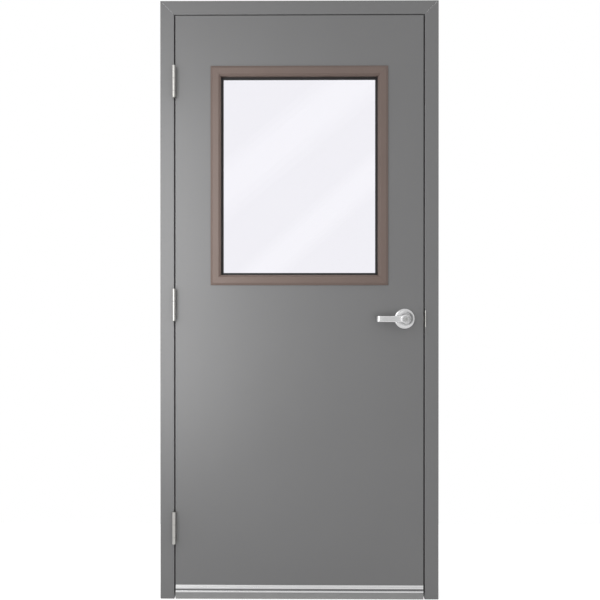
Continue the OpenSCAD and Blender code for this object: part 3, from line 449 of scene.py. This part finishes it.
# Glass
# One pane of clear float glass with a faint cold tint, held between black tapes on two setting blocks.
glass, shader, place = new_finish("clear_glass", {"Transmission Weight": 1.0, "IOR": 1.5})
haze = place.noise(4, detail=3.0)
feed(shader, {"Base Color": haze.between(linear(240, 239, 245), linear(241, 240, 246)),
              "Roughness": 0.004 * haze})
dress(glass, "glass_pane")
dress(rubber, "pull_tape", "push_tape", "setting_blocks")

# Lite screws
# Pan-head screws in the bronze finish, driven from the push side through both frames.
lite_head = [(4.0, 0), (4.0, 0.9), (3.6, 1.6), (2.7, 2.3), (1.5, 2.6)]
lite_screw = cross_screw("lite_screw", lite_head, shank=4.2, length=61, head_h=0, recess=4.2)
lite_face = 55.55 * mm
past_sight = 14.4 * mm
lite_screw_places = []
for side in (-1, 1):
    for column in (1, 2, 3):
        across = sight_w * (column / 4 - 0.5)
        lite_screw_places.append((across, lite_face, lite_middle + side * (sight_h / 2 + past_sight)))
    for row in (1, 2, 3, 4):
        up = sight_h * (row / 5 - 0.5)
        lite_screw_places.append((side * (sight_w / 2 + past_sight), lite_face, lite_middle + up))
place_screws("lite_screws", lite_screw, bronze, lite_screw_places, (0, 1, 0))

# Lock body and latch
# A steel lock body in a bore through the leaf, and a latch whose plate is let into the leaf's edge: a
# bevelled bolt with a plunger beside it that keeps it from being pushed back.
dress(bare_steel, "lock_chassis")
for node in ("latch_case", "latch_bolt", "deadlatch_plunger"):
    fit(eased_copy(node, 0.3 * mm), satin_steel, node)
latch_screw = flat_screw("latch_screw", shank=3.6, head=6.4, head_h=1.9, length=11)
lock_height = 1024 * mm
leaf_middle = 23.825 * mm
latch_face = -leaf_edge - 0.1 * mm
latch_screw_rise = 20.575 * mm
latch_screw_places = [(latch_face, leaf_middle, lock_height + side * latch_screw_rise) for side in (-1, 1)]
place_screws("latch_screws", latch_screw, satin_steel, latch_screw_places, (1, 0, 0))

# Roses
# Spun covers of satin chrome with a domed edge and a fine brushed grain, which hide the lock's bore on both
# faces of the leaf.
lock_across = 383.55 * mm
pull_face = 1.6 * mm
push_face = 46.05 * mm
satin_chrome, shader, place = new_finish("satin_chrome", {"Metallic": 1.0})
brush = place.noise(900, detail=3.0, stretch=(0.05, 1, 1))
feed(shader, {"Base Color": brush.between(linear(190, 190, 191), linear(208, 208, 208)),
              "Roughness": 0.20 + 0.1 * brush, "Normal": brush.bump(0.008 * mm)})


def stand(piece, side):
    """Stands a piece made along +Z on the pull face (-1) or the push face (1) of the leaf at the lock."""
    face = pull_face if side < 0 else push_face
    upright = Vector((0, side, 0)).to_track_quat("Z", "Y")
    if side > 0:
        upright = upright @ Quaternion((0, 0, 1), math.pi)
    piece.rotation_euler = upright.to_euler()
    piece.location = (lock_across, face, lock_height)
    settle(piece)


rose_r = 38
rose_h = 10
rose_bore = 15.3
rim_h = 2
rim_edge = 0.2
bore_edge = 0.3
crown_r = 21
dome_steps = 16
dome = []
for step in range(dome_steps + 1):
    turn = math.radians(90 * step / dome_steps)
    dome.append((crown_r + (rose_r - crown_r) * math.cos(turn), rim_h + (rose_h - rim_h) * math.sin(turn)))
rose_rings = [(rose_bore, 0), (rose_r - rim_edge, 0), (rose_r, rim_edge)] + dome
rose_rings += [(rose_bore + bore_edge, rose_h), (rose_bore, rose_h - bore_edge)]
for node, side in (("outside_rose", -1), ("inside_rose", 1)):
    rose = turned(node + "_piece", rose_rings, sides=64, bored=True)
    stand(rose, side)
    shade(rose)
    fit(rose, satin_chrome, node)

# Levers
# Cast handles of satin chrome on tubes that turn in the lock body. A hub with a waist flares into a flat arm
# whose end returns towards the leaf; the outside one is bored for the key cylinder.
hub_sides = 16
swell = 1.026
root_r = 17.8
arm_height = 44
arm_rows = (37, 41.5, 46.5, 51)
hub_rings = [(12.5, -4), (12.5, -3.4), (12.5, 9.9), (12.6, 10.5), (13.4, 10.5), (18.9, 10.5), (19.5, 10.8),
             (19.5, 13.0), (19.2, 13.9), (17.6, 18), (16.6, 22.5), (16.6, 30), (17, 35), (17.3, arm_rows[0]),
             (17.7, arm_rows[1]), (18, arm_rows[2]), (root_r, arm_rows[3]), (16.6, 53.2), (14.2, 54)]
bored_front = [(10.2, 54), (9.7, 53.9), (9.6, 53.4), (9.6, 50)]
plain_front = [(9, 54), (4, 54)]
arm_stations = [(24, 12.5, 6.2), (34, 11.8, 5.9), (50, 11.2, 5.65), (70, 11, 5.5), (88.5, 11, 5.5)]
return_radius = 14
tip_steps = [(3.5, 1.0, 1.0), (2.4, 0.94, 0.86), (1.1, 0.86, 0.62)]


def lever_handle(name, front):
    """A handle along +Z with its arm towards -X, drawn as a coarse cage and then rounded. The hub's cage is
    swollen a little, because rounding draws it in."""
    cage = [(radius * swell, height) for radius, height in hub_rings + front]
    handle = turned(name, cage, sides=hub_sides)
    low = arm_rows[0] * mm
    high = arm_rows[-1] * mm

    def at_root(centre):
        return low < centre.z < high and centre.x < -abs(centre.y)

    pick(handle, at_root)
    across = root_r * swell * math.sin(math.pi / 4)
    along = across
    thick = (arm_rows[-1] - arm_rows[0]) / 2
    for reach, half_h, half_t in arm_stations:
        bpy.ops.mesh.extrude_region_move(TRANSFORM_OT_translate={"value": ((along - reach) * mm, 0, 0)})
        middle = (-reach * mm, 0, arm_height * mm)
        flat = 0 if reach == arm_stations[0][0] else 1
        bpy.ops.transform.resize(value=(flat, half_h / across, half_t / thick), center_override=middle)
        along, across, thick = reach, half_h, half_t
    bend = (-along * mm, 0, (arm_height - return_radius) * mm)
    bpy.ops.mesh.spin(steps=4, angle=math.pi / 2, center=bend, axis=(0, 1, 0))
    drop = arm_height - return_radius
    for fall, tall, thin in tip_steps:
        drop -= fall
        bpy.ops.mesh.extrude_region_move(TRANSFORM_OT_translate={"value": (0, 0, -fall * mm)})
        middle = (-(along + return_radius) * mm, 0, drop * mm)
        bpy.ops.transform.resize(value=(thin, tall, 1), center_override=middle)
    bpy.ops.mesh.select_all(action="SELECT")
    bpy.ops.mesh.remove_doubles(threshold=0.001 * mm)
    bpy.ops.mesh.normals_make_consistent(inside=False)
    bpy.ops.object.mode_set(mode="OBJECT")
    apply(handle, "SUBSURF", levels=2, render_levels=2)
    return handle


for node, side, front in (("outside_lever", -1, bored_front), ("inside_lever", 1, plain_front)):
    handle = lever_handle(node + "_piece", front)
    stand(handle, side)
    only(handle)
    bpy.ops.object.shade_smooth()
    fit(handle, satin_chrome, node)

# Key cylinder
# A turned shell of satin chrome in the outside lever's hub, and the plug inside it with an upright keyway,
# whose faces are painted near black as painted shade.
shell_rings = [(6.4, 30), (9.45, 30), (9.45, 54.2), (9.25, 54.4), (6.6, 54.4), (6.4, 54.2)]
shell = turned("key_cylinder_piece", shell_rings, sides=64, bored=True)
stand(shell, -1)
shade(shell)
fit(shell, satin_chrome, "key_cylinder")
plug_rings = [(6.2, 32), (6.3, 32.1), (6.3, 54.5), (6.0, 54.8), (5, 54.8)]
plug = turned("key_plug_piece", plug_rings, sides=48)
keyway_w = 2
keyway_h = 8.4
keyway_depth = 14
keyway_middle = 49.8
cut_out(plug, block("keyway", (keyway_w, keyway_h, keyway_depth), (0, 0, keyway_middle)))
stand(plug, -1)
shade(plug)
keyway_edge = 0.05 * mm
plug_steel_painted_keyway_shade, shader, place = new_finish("plug_steel_painted_keyway_shade", {"Metallic": 1.0})
scuff = place.noise(300, detail=4.0)
# The keyway's faces are painted near black: painted shade in the deep slot, not the plug's own colour.
keyway = (place.axis(0).near(lock_across, keyway_w / 2 * mm + keyway_edge)
          * place.axis(2).near(lock_height, keyway_h / 2 * mm + keyway_edge))
polished = scuff.between(linear(168, 168, 167), linear(190, 190, 188))
feed(shader, {"Base Color": keyway.between(polished, linear(22, 21, 20)),
              "Roughness": 0.24 + 0.16 * scuff, "Normal": scuff.bump(0.01 * mm)})
fit(plug, plug_steel_painted_keyway_shade, "key_plug")

# Strike
# A steel plate let into the strike jamb, with a hole for the bolt and a lip that curls round the frame's
# corner to lead the bolt in, held by two flat-head screws.
fit(eased_copy("strike_plate", 0.18 * mm), satin_steel, "strike_plate")
strike_screw = flat_screw("strike_screw", shank=5.4, head=9.6, head_h=2.0, length=11)
strike_screw_rise = 53.9 * mm
strike_screw_places = [(-jamb_edge, leaf_middle, lock_height + side * strike_screw_rise) for side in (-1, 1)]
place_screws("strike_screws", strike_screw, satin_steel, strike_screw_places, (-1, 0, 0))

# Sweep
# A drawn aluminium strip screwed across the foot of the leaf through a rough track painted a darker grey as
# painted shade. It grips a grey vinyl fin that brushes the floor.
aluminium, shader, place = new_finish("mill_aluminium", {"Metallic": 1.0})
draw_lines = place.noise(900, detail=3.0, stretch=(0.01, 1, 1))
track_height = 34 * mm
track_half = 2.9 * mm
# The screw track is painted a darker grey as painted shade in the groove, and is also made rougher.
track_painted_shade = place.axis(2).near(track_height, track_half)
drawn = draw_lines.between(linear(194, 194, 195), linear(218, 218, 218))
feed(shader, {"Base Color": track_painted_shade.between(drawn, linear(128, 128, 129)),
              "Roughness": 0.22 + 0.14 * draw_lines + 0.3 * track_painted_shade,
              "Normal": draw_lines.bump(0.01 * mm)})
vinyl, shader, place = new_finish("grey_vinyl")
cloud = place.noise(25, detail=3.0)
grain = place.noise(800, detail=2.0, stretch=(0.1, 1, 1))
feed(shader, {"Base Color": cloud.between(linear(134, 134, 134), linear(144, 144, 144)),
              "Roughness": 0.5 + 0.1 * cloud, "Normal": grain.bump(0.02 * mm)})
fit(eased_copy("sweep_retainer", 0.3 * mm, steps=3), aluminium, "sweep_retainer")
fit(eased_copy("sweep_fin", 0.3 * mm), vinyl, "sweep_fin")
sweep_head = [(2.6, 0), (2.6, 0.6), (2.35, 1.15), (1.73, 1.6), (1.0, 1.8)]
sweep_screw = cross_screw("sweep_screw", sweep_head, shank=2.9, length=9.6, head_h=0, recess=2.8)
sweep_screw_pitch = 210 * mm
sweep_screw_places = [(column * sweep_screw_pitch, 0, track_height) for column in (-2, -1, 0, 1, 2)]
place_screws("sweep_screws", sweep_screw, aluminium, sweep_screw_places, (0, -1, 0))

# Studio
# A white floor and surround with soft lamps on the left, above, in front and behind. The glass mirrors two
# slanting strips as pale bands, and a dark cloth gives the chrome something to mirror.
world = bpy.data.worlds.new("white_surround")
scene.world = world
world.use_nodes = True
ambient = 0.85


def seen_directly(tree):
    """1 where the viewpoint, a mirror or a pane looks at a thing, and 0 where it only gives light."""
    path = tree.nodes.new("ShaderNodeLightPath")
    seen = Wire(tree, path.outputs["Is Camera Ray"])
    for kind in ("Is Glossy Ray", "Is Transmission Ray"):
        seen = seen.sum_of("MAXIMUM", seen, Wire(tree, path.outputs[kind]))
    return seen


seen = seen_directly(world.node_tree)
backdrop = world.node_tree.nodes["Background"]
backdrop.inputs["Color"].default_value = (1, 1, 1, 1)
world.node_tree.links.new((ambient + (1 - ambient) * seen).socket, backdrop.inputs["Strength"])


def soft_lamp(name, place, target, width, height, watts):
    """A rectangular lamp at a place, turned towards a target."""
    data = bpy.data.lights.new(name, "AREA")
    data.shape = "RECTANGLE"
    data.size = width
    data.size_y = height
    data.energy = watts
    lamp = bpy.data.objects.new(name, data)
    lamp.visible_camera = False
    lamp.visible_transmission = False
    scene.collection.objects.link(lamp)
    lamp.location = place
    lamp.rotation_euler = (Vector(target) - Vector(place)).to_track_quat("-Z", "Y").to_euler()
    return lamp


soft_lamp("left_lamp", place=(-0.64, -0.72, 1.20), target=(-0.55, 0, 1.20), width=0.45, height=1.44,
          watts=7.1)
upper_lamp = soft_lamp("upper_lamp", place=(-1.25, -1.4, 2.4), target=(0.38, 0, 1.02), width=0.8, height=0.8,
                       watts=6)
upper_lamp.visible_diffuse = False
front_lamp = soft_lamp("front_lamp", place=(0.9, -2.4, 0.32), target=(0.15, 0, 0.4), width=1.6, height=0.6,
                       watts=11)
back_lamp = soft_lamp("back_lamp", place=(0.9, 3.3, 1.3), target=(0, 0.1, 1.1), width=2.0, height=1.0,
                      watts=24)
for lamp in (front_lamp, back_lamp):
    lamp.visible_glossy = False
strip_glow = 1.0
strip_layers = (0.65, 1.0, 1.35)
strip_depth = -4.0
layer_gap = 0.02
for name, across, up, length, width, slope in (("wide_strip", -0.064, 2.521, 2.2, 0.32, 39.5),
                                               ("slim_strip", 0.080, 1.708, 2.0, 0.22, 41.8)):
    for layer, share in enumerate(strip_layers):
        middle = (across, strip_depth - layer * layer_gap, up)
        watts = strip_glow / len(strip_layers) * math.pi * length * width * share
        strip = soft_lamp(name, middle, (across, 0, up), length, width * share, watts)
        strip.rotation_euler.rotate_axis("Z", math.radians(slope))

flag_size = 2.6
flag_place = (2.35, -3.4, 1.1)
cloth_grey = (0.3, 0.3, 0.3, 1)
bpy.ops.object.select_all(action="DESELECT")
bpy.ops.mesh.primitive_plane_add(size=flag_size, location=flag_place, rotation=(math.pi / 2, 0, 0))
dark_flag = bpy.context.object
dark_flag.name = "dark_flag"
dark_cloth, shader, place = new_finish("dark_cloth", {"Base Color": cloth_grey, "Roughness": 1.0})
dark_flag.data.materials.append(dark_cloth)
dark_flag.visible_camera = False
dark_flag.visible_diffuse = False
dark_flag.visible_transmission = False
dark_flag.visible_shadow = False

floor_size = 6.0
floor_behind = 1.0
floor_grey = (0.45, 0.45, 0.45, 1)
bpy.ops.object.select_all(action="DESELECT")
bpy.ops.mesh.primitive_plane_add(size=floor_size, location=(0, floor_behind - floor_size / 2, cad_low.z))
floor = bpy.context.object
floor.name = "floor"
own_light = 0.7
floor_paint, shader, place = new_finish("white_floor", {"Base Color": floor_grey, "Roughness": 0.9,
                                                       "Emission Strength": own_light})
feed(shader, {"Emission Color": seen_directly(floor_paint.node_tree).between((0, 0, 0), (1, 1, 1))})
floor.data.materials.append(floor_paint)

scene.view_settings.view_transform = "Standard"
